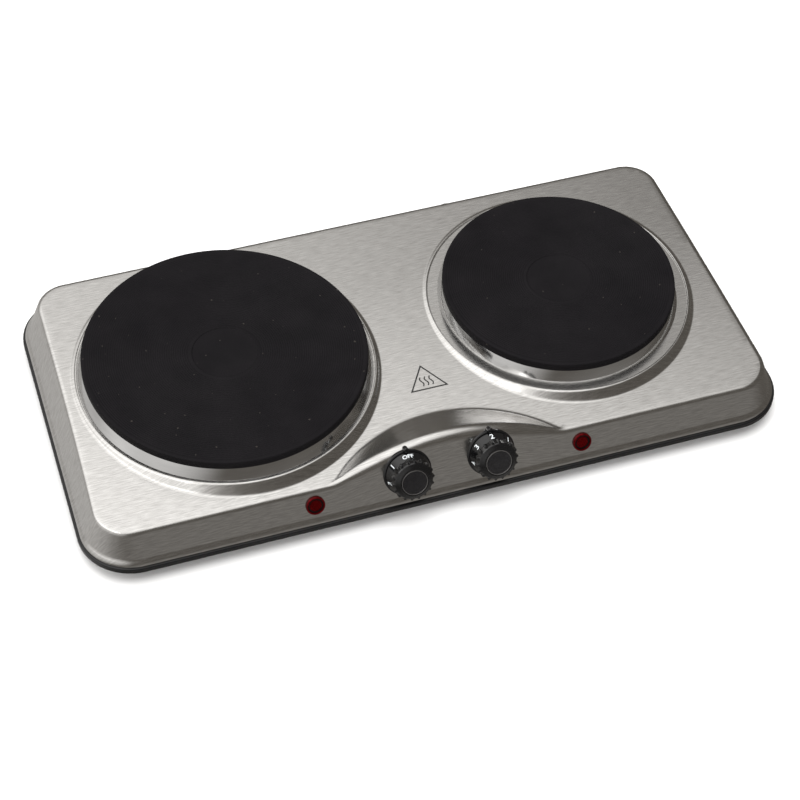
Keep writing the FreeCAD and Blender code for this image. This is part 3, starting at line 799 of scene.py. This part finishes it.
# Knob, measured from the panel along the shaft
KNOB_GAP = 1.6
KNOB_SKIRT_R = 14.7
KNOB_GRIP_R = 12.7
KNOB_GRIP_Z = 9.0
KNOB_FACE_Z = 15.5
KNOB_RIBS = 18
KNOB_RIB = 1.4
KNOB_RIB_START = (8.2, 9.4)
KNOB_RIB_END = (12.9, 13.5)
KNOB_ROW = 0.45
KNOB_HUB_R = 5.6
KNOB_HOLLOW_R = 11.4
KNOB_HOLLOW_Z = 3.0
KNOB_RECESS_R = 8.75
KNOB_CONE_TOP_R = KNOB_GRIP_R - 0.3
KNOB_CONE_Z = (KNOB_GAP + 1.0, 8.4)
CAP_R = 8.55
CAP_Z = 14.25
CAP_FACE_Z = CAP_Z + 1.45
HATCH_R = 7.95
HATCH_CELL = 0.11
HATCH_PITCH = 0.62
HATCH_HEIGHTS = (0.12, 0.06)
HATCH_THICKNESS = 0.5
DIAL_STEP = 50.0
DIAL_MARKS = ("OFF", "1", "2", "3", "4", "5")
DIAL_Z = 5.3
DIGIT_SIZE = 5.4
WORD_SIZE = 4.2
DIGIT_STRETCH = 0.93
DIGIT_FATTEN = 0.06
DIGIT_LIFTS = (0.06, -0.05)
BEZEL_HOLE_R = 5.5
BEZEL_R = 15.9
BEZEL_T = 1.2
NUB_Y = 16.75


def knob_shape(angle, r, z):
    """Adds the grip's ribs: rounded ridges that stand out between two heights."""
    ridge = max(0.0, math.cos(angle * KNOB_RIBS) + 0.15) / 1.15
    rise = float(smooth_step(*KNOB_RIB_START, z) * (1 - smooth_step(*KNOB_RIB_END, z)))
    outer = r > KNOB_GRIP_R - 1.4
    return r + KNOB_RIB * ridge ** 1.5 * rise * outer


def make_knob(side):
    """Gloss knob: conical skirt, ribbed grip, a stepped shoulder and the recess for its cap."""
    inside = [(0.0, KNOB_GAP), (KNOB_HUB_R, KNOB_GAP), (KNOB_HUB_R, KNOB_HOLLOW_Z),
              (KNOB_HOLLOW_R, KNOB_HOLLOW_Z), (KNOB_HOLLOW_R, KNOB_GAP)]
    outside = rounded([(KNOB_HOLLOW_R, KNOB_GAP), (KNOB_SKIRT_R, KNOB_GAP), (KNOB_SKIRT_R, KNOB_CONE_Z[0]),
                       (KNOB_CONE_TOP_R, KNOB_CONE_Z[1]), (KNOB_GRIP_R, KNOB_GRIP_Z), (KNOB_GRIP_R, 13.2),
                       (KNOB_GRIP_R - 0.6, 13.9), (9.5, KNOB_FACE_Z),
                       (KNOB_RECESS_R, KNOB_FACE_Z), (KNOB_RECESS_R, CAP_Z)], 0.45)
    dense = []
    for a, b in zip(outside, outside[1:]):
        steps = max(1, int(math.hypot(a[0] - b[0], a[1] - b[1]) / KNOB_ROW))
        dense += [(a[0] + (b[0] - a[0]) * i / steps, a[1] + (b[1] - a[1]) * i / steps) for i in range(steps)]
    profile = inside[:-1] + dense + [outside[-1], (0.0, CAP_Z)]
    verts, faces = lathe(profile, KNOB_RIBS * 20, knob_shape)
    piece = clean(new_object(side + "_knob_moulding", verts, faces))
    mark_sharp(piece, 40)
    stand_on_panel(piece, KNOB_POINTS[side])
    give(piece, PHENOLIC, side + "_knob_body", [side + "_knob"])


def make_knob_cap(side):
    """Cap disc with a fine crossed hatch inside a plain rim."""
    size = int(HATCH_R / HATCH_CELL)
    grid = {}
    verts = []
    faces = []
    for i in range(-size, size + 1):
        for j in range(-size, size + 1):
            x, y = i * HATCH_CELL, j * HATCH_CELL
            if math.hypot(x, y) <= HATCH_R:
                u = (x * 0.87 + y * 0.5) / HATCH_PITCH * math.pi * 2
                v = (x * 0.5 - y * 0.87) / HATCH_PITCH * math.pi * 2
                grid[i, j] = len(verts)
                relief = HATCH_HEIGHTS[0] * math.cos(u) + HATCH_HEIGHTS[1] * math.cos(v)
                verts.append((x, y, CAP_FACE_Z + relief))
    for (i, j), a in grid.items():
        if (i + 1, j) in grid and (i, j + 1) in grid and (i + 1, j + 1) in grid:
            faces.append((a, grid[i + 1, j], grid[i + 1, j + 1], grid[i, j + 1]))
    hatch = new_object(side + "_knob_cap_hatch", verts, faces)
    thicken(hatch, HATCH_THICKNESS)
    keep_modifiers(hatch)
    stand_on_panel(hatch, KNOB_POINTS[side])
    give(hatch, HATCH, side + "_knob_body")
    face = CAP_FACE_Z
    profile = rounded([(0.0, CAP_Z), (CAP_R, CAP_Z), (CAP_R, face + 0.1), (CAP_R - 0.25, face + 0.35),
                       (HATCH_R + 0.1, face + 0.15), (HATCH_R - 0.2, face - 0.3), (0.0, face - 0.35)], 0.15)
    verts, faces = lathe(profile, 160)
    rim = clean(new_object(side + "_knob_cap_disc", verts, faces))
    mark_sharp(rim, 40)
    stand_on_panel(rim, KNOB_POINTS[side])
    give(rim, CAP_RIM, side + "_knob_body", [side + "_knob_cap"])


def make_numerals(side, rest_angle):
    """White dial numbers wrapped round the knob's skirt; rest_angle brings the set number to the index."""
    slope = (KNOB_SKIRT_R - KNOB_CONE_TOP_R) / (KNOB_CONE_Z[1] - KNOB_CONE_Z[0])
    verts = []
    faces = []
    for i, mark in enumerate(DIAL_MARKS):
        curve = bpy.data.curves.new("digit", "FONT")
        curve.body = mark
        curve.size = DIGIT_SIZE if len(mark) == 1 else WORD_SIZE
        curve.align_x = "CENTER"
        curve.align_y = "CENTER"
        curve.offset = DIGIT_FATTEN
        digit = bpy.data.objects.new("digit", curve)
        bpy.context.scene.collection.objects.link(digit)
        bpy.context.view_layer.update()
        flat = applied_mesh(digit)
        bpy.data.objects.remove(digit)
        turn = math.radians(90.0 + rest_angle + DIAL_STEP * i)
        start = len(verts)
        for lift in DIGIT_LIFTS:
            for v in flat.vertices:
                z = DIAL_Z - v.co.y * DIGIT_STRETCH
                r = KNOB_SKIRT_R - (z - KNOB_CONE_Z[0]) * slope + lift
                angle = turn - v.co.x / r
                verts.append((r * math.cos(angle), r * math.sin(angle), z))
        count = len(flat.vertices)
        tris = [tuple(p.vertices) for p in flat.polygons]
        faces += [tuple(start + k for k in tri) for tri in tris]
        faces += [tuple(start + count + k for k in reversed(tri)) for tri in tris]
        sides = dict.fromkeys(pair for tri in tris for pair in zip(tri, tri[1:] + tri[:1]))
        for a, b in sides:
            if (b, a) not in sides:
                faces.append((start + b, start + a, start + count + a, start + count + b))
    piece = clean(new_object(side + "_knob_numerals", verts, faces, smooth=False))
    stand_on_panel(piece, KNOB_POINTS[side])
    give(piece, WHITE_INK, side + "_knob_body")


def make_bezel(side):
    """Thin ring on the panel with a round index nub at its top."""
    outline = rounded([(BEZEL_HOLE_R, -1.0), (BEZEL_HOLE_R, BEZEL_T), (BEZEL_R - 0.9, BEZEL_T),
                       (BEZEL_R, BEZEL_T / 2), (BEZEL_R, -1.0)], 0.3)
    verts, faces = lathe(outline, 128, close=True)
    ring = clean(new_object(side + "_bezel_ring", verts, faces))
    mark_sharp(ring, 35)
    stand_on_panel(ring, KNOB_POINTS[side])
    give(ring, PHENOLIC, "root", [side + "_knob_bezel"])
    profile = rounded([(0.0, -1.2), (1.75, -1.2), (1.75, 2.7), (1.3, 3.4), (0.0, 3.5)], 0.7)
    verts, faces = lathe(profile, 48)
    nub = clean(new_object(side + "_index_nub", moved(verts, 0.0, NUB_Y), faces))
    stand_on_panel(nub, KNOB_POINTS[side])
    give(nub, PHENOLIC, "root")


LAMP_BODY_HALF = 7.0
LENS_BASE_Z = 0.5
FACET_PITCH = 1.25
FACET_FIELD_R = 3.6
FACET_FOOT_Z = 0.62
FACET_TIP_Z = 1.45
FACET_TURN = math.radians(30)


def lamp_point(side):
    """Where a lamp's axis meets the panel."""
    return middle_of(side + "_lamp_body") + PANEL_NORMAL * LAMP_BODY_HALF


def make_lens(side):
    """Red lens: smooth raised rim, a groove painted near-black as shade, and a centre of small pyramids."""
    point = lamp_point(side)
    rim = rounded([(4.5, -6.0), (4.5, 0.02), (6.25, 0.02), (6.25, 1.1), (5.8, 1.75), (5.1, 1.6), (4.95, 0.55),
                   (4.0, LENS_BASE_Z), (0.0, LENS_BASE_Z)], 0.3)
    verts, faces = lathe([(0.0, -6.0)] + rim, 96)
    body = clean(new_object(side + "_lens_rim", verts, faces))
    mark_sharp(body, 40)
    stand_on_panel(body, point)
    give(body, LENS, "root", [side + "_lamp_lens"])
    # The groove ring is painted shade: a near-black ring where the groove only lies in shade.
    groove = rounded([(3.95, 0.45), (3.95, 0.95), (4.94, 0.95), (4.94, 0.45)], 0.1)
    verts, faces = lathe(groove, 64, close=True)
    ring = clean(new_object(side + "_lens_groove", verts, faces))
    stand_on_panel(ring, point)
    give(ring, GROOVE_PAINTED_SHADE, "root")
    verts = []
    faces = []
    half = FACET_PITCH / 2 * 0.98
    for i in range(-4, 5):
        for j in range(-4, 5):
            cx, cy = i * FACET_PITCH, j * FACET_PITCH
            if math.hypot(cx, cy) > FACET_FIELD_R:
                continue
            start = len(verts)
            corners = ((-half, -half), (half, -half), (half, half), (-half, half))
            verts += [(cx + dx, cy + dy, FACET_FOOT_Z) for dx, dy in corners]
            verts.append((cx, cy, FACET_TIP_Z))
            faces += [(start + k, start + (k + 1) % 4, start + 4) for k in range(4)]
            faces.append((start + 3, start + 2, start + 1, start))
    facets = new_object(side + "_lens_facets", verts, faces, smooth=False)
    facets.data.transform(Matrix.Rotation(FACET_TURN, 4, "Z"))
    stand_on_panel(facets, point)
    give(facets, LENS, "root")


SYMBOL_CENTRE = Vector((6.3, PLATE_Y - 47.2))
SYMBOL_SIDE = 24.0
SYMBOL_HEIGHT = 19.0
OUTLINE_WIDTH = 1.0
WAVE_XS = (-3.2, 0.0, 3.2)
WAVE_FOOT = -4.6
WAVE_HEIGHT = 7.4
WAVE_SWING = 0.8
WAVE_WIDTH = 0.85
WAVE_STEPS = 14
PRINT_LIFT = 0.05


def symbol_strokes():
    """The mark's lines about its centre, as (points, width, closed)."""
    foot = -SYMBOL_HEIGHT * 0.38
    half = SYMBOL_SIDE / 2
    corners = [Vector((0, SYMBOL_HEIGHT * 0.62)), Vector((-half, foot)), Vector((half, foot))]
    strokes = [(corners, OUTLINE_WIDTH, True)]
    for x in WAVE_XS:
        wave = []
        for i in range(WAVE_STEPS + 1):
            t = i / WAVE_STEPS
            wave.append(Vector((x + WAVE_SWING * math.sin(t * 2 * math.pi), WAVE_FOOT + t * WAVE_HEIGHT)))
        strokes.append((wave, WAVE_WIDTH, False))
    return strokes


def make_symbol():
    """A plain printed triangle with three wavy lines, on the deck between the plates."""
    verts = []
    faces = []
    for points, width, closed in symbol_strokes():
        count = len(points)
        start = len(verts)
        for i, p in enumerate(points):
            before = points[i - 1] if (i or closed) else p * 2 - points[1]
            after = points[(i + 1) % count] if (i + 1 < count or closed) else p * 2 - points[i - 1]
            a, b = (p - before).normalized(), (after - p).normalized()
            normal = (Vector((-a.y, a.x)) + Vector((-b.y, b.x))).normalized()
            stretch = width / 2 / max(0.3, normal.dot(Vector((-a.y, a.x))))
            for offset in (stretch, -stretch):
                q = SYMBOL_CENTRE + p + normal * offset
                top = float(top_height(q.x, q.y))
                verts.append((q.x, q.y, top + PRINT_LIFT))
                verts.append((q.x, q.y, top - PRINT_LIFT))
        spans = count if closed else count - 1
        for i in range(spans):
            a, b = start + i * 4, start + ((i + 1) % count) * 4
            faces += [(a, b, b + 2, a + 2), (a + 1, a + 3, b + 3, b + 1),
                      (a, a + 1, b + 1, b), (a + 2, b + 2, b + 3, a + 3)]
        if not closed:
            a, b = start, start + (count - 1) * 4
            faces += [(a, a + 2, a + 3, a + 1), (b, b + 1, b + 3, b + 2)]
    piece = clean(new_object("deck_symbol", verts, faces, smooth=False))
    give(piece, BLACK_INK, "root")


# ---------------------------------------------------------------- stage, light and camera (m)

LIGHT_TARGET = (0.0, 0.0, 0.05)
FLOOR_HALF = 12.0


def look_at(thing, target):
    thing.rotation_mode = "QUATERNION"
    thing.rotation_quaternion = (Vector(target) - thing.location).to_track_quat("-Z", "Y")


def area_light(name, place, width, depth, power, shines=False):
    """A rectangular light aimed at the object; shines says whether gloss shows it."""
    data = bpy.data.lights.new(name, "AREA")
    data.shape = "RECTANGLE"
    data.size = width
    data.size_y = depth
    data.energy = power
    lamp = bpy.data.objects.new(name, data)
    lamp.location = place
    bpy.context.scene.collection.objects.link(lamp)
    lamp.visible_glossy = shines
    look_at(lamp, LIGHT_TARGET)


def make_floor():
    mesh = bpy.data.meshes.new("floor")
    far = FLOOR_HALF
    mesh.from_pydata([(-far, -far, 0), (far, -far, 0), (far, far, 0), (-far, far, 0)], [], [(0, 1, 2, 3)])
    floor = bpy.data.objects.new("floor", mesh)
    bpy.context.scene.collection.objects.link(floor)
    floor.visible_glossy = False
    mesh.materials.append(studio_floor())


# The bright patches round the object: direction, cosine where each starts, cosine where it is full, level
SURROUNDINGS = [
    ((-0.33, 0.20, 0.92), 0.58, 0.90, 1.28),
    ((-0.62, 0.55, -0.56), 0.30, 0.95, 0.42),
    ((-0.85, -0.30, 0.43), 0.60, 0.98, 0.55),
    ((0.20, -0.70, -0.68), 0.50, 0.98, 0.14),
]
DARK_LEVEL = 0.12
DARK_COLOUR = (1.0, 0.92, 0.82, 1)
BRIGHT_COLOUR = (1.0, 0.995, 0.985, 1)


def make_world():
    """Studio surroundings: a large soft patch overhead, weaker ones to the left and low down."""
    world = bpy.data.worlds.new("studio")
    bpy.context.scene.world = world
    world.use_nodes = True
    tree = world.node_tree
    direction = tree.nodes.new("ShaderNodeTexCoord").outputs["Generated"]
    total = None
    for axis, start, full, level in SURROUNDINGS:
        dot = tree.nodes.new("ShaderNodeVectorMath")
        dot.operation = "DOT_PRODUCT"
        dot.inputs[1].default_value = Vector(axis).normalized()
        tree.links.new(direction, dot.inputs[0])
        patch = tree.nodes.new("ShaderNodeMapRange")
        patch.interpolation_type = "SMOOTHSTEP"
        for name, value in (("From Min", start), ("From Max", full), ("To Min", 0.0), ("To Max", level)):
            patch.inputs[name].default_value = value
        tree.links.new(dot.outputs["Value"], patch.inputs["Value"])
        add = tree.nodes.new("ShaderNodeMath")
        add.operation = "ADD"
        add.inputs[1].default_value = 0.0
        if total:
            tree.links.new(total, add.inputs[1])
        tree.links.new(patch.outputs["Result"], add.inputs[0])
        total = add.outputs["Value"]
    bright = tree.nodes["Background"]
    bright.inputs["Color"].default_value = BRIGHT_COLOUR
    tree.links.new(total, bright.inputs["Strength"])
    dark = tree.nodes.new("ShaderNodeBackground")
    dark.inputs["Color"].default_value = DARK_COLOUR
    dark.inputs["Strength"].default_value = DARK_LEVEL
    both = tree.nodes.new("ShaderNodeAddShader")
    tree.links.new(bright.outputs["Background"], both.inputs[0])
    tree.links.new(dark.outputs["Background"], both.inputs[1])
    tree.links.new(both.outputs["Shader"], tree.nodes["World Output"].inputs["Surface"])


# The view: angles in degrees, focal length in mm, distance, and the point in the middle of the picture
VIEW_AZIMUTH = -20.7
VIEW_ELEVATION = 49.0
VIEW_ROLL = 2.93
VIEW_LENS = 112.0
VIEW_DISTANCE = 1.5789
VIEW_TARGET = Vector((-0.0201, PLATE_Y * MM - 0.0714, PLATE_TOP * MM))


def make_camera():
    a, e, roll = map(math.radians, (VIEW_AZIMUTH, VIEW_ELEVATION, VIEW_ROLL))
    back = Vector((math.sin(a) * math.cos(e), -math.cos(a) * math.cos(e), math.sin(e)))
    right = Vector((math.cos(a), math.sin(a), 0))
    up = back.cross(right)
    right, up = right * math.cos(roll) + up * math.sin(roll), up * math.cos(roll) - right * math.sin(roll)
    data = bpy.data.cameras.new("camera")
    data.lens = VIEW_LENS
    data.sensor_width = 36.0
    data.dof.use_dof = False
    data.clip_start = 0.05
    camera = bpy.data.objects.new("camera", data)
    place = VIEW_TARGET + back * VIEW_DISTANCE
    camera.matrix_world = Matrix.Translation(place) @ Matrix((right, up, back)).transposed().to_4x4()
    bpy.context.scene.collection.objects.link(camera)
    bpy.context.scene.camera = camera


def make_lights():
    area_light("soft_top", (0.0, 0.1, 2.3), 2.6, 2.6, 62.0)
    area_light("soft_front", (0.0, -2.2, 1.3), 2.4, 1.2, 26.0)
    area_light("knob_glint", (-1.1, -0.9, 1.6), 0.35, 0.35, 0.9, shines=True)


dress_cad_nodes()
make_camera()
make_housing()
for plate_name in PLATES:
    make_plate(plate_name)
    make_trim_ring(plate_name)
for knob_side, set_angle in (("left", 0.0), ("right", -100.0)):
    make_knob(knob_side)
    make_knob_cap(knob_side)
    make_numerals(knob_side, set_angle)
    make_bezel(knob_side)
    make_lens(knob_side)
make_symbol()
make_floor()
make_world()
make_lights()
bpy.context.scene.view_settings.view_transform = "Standard"
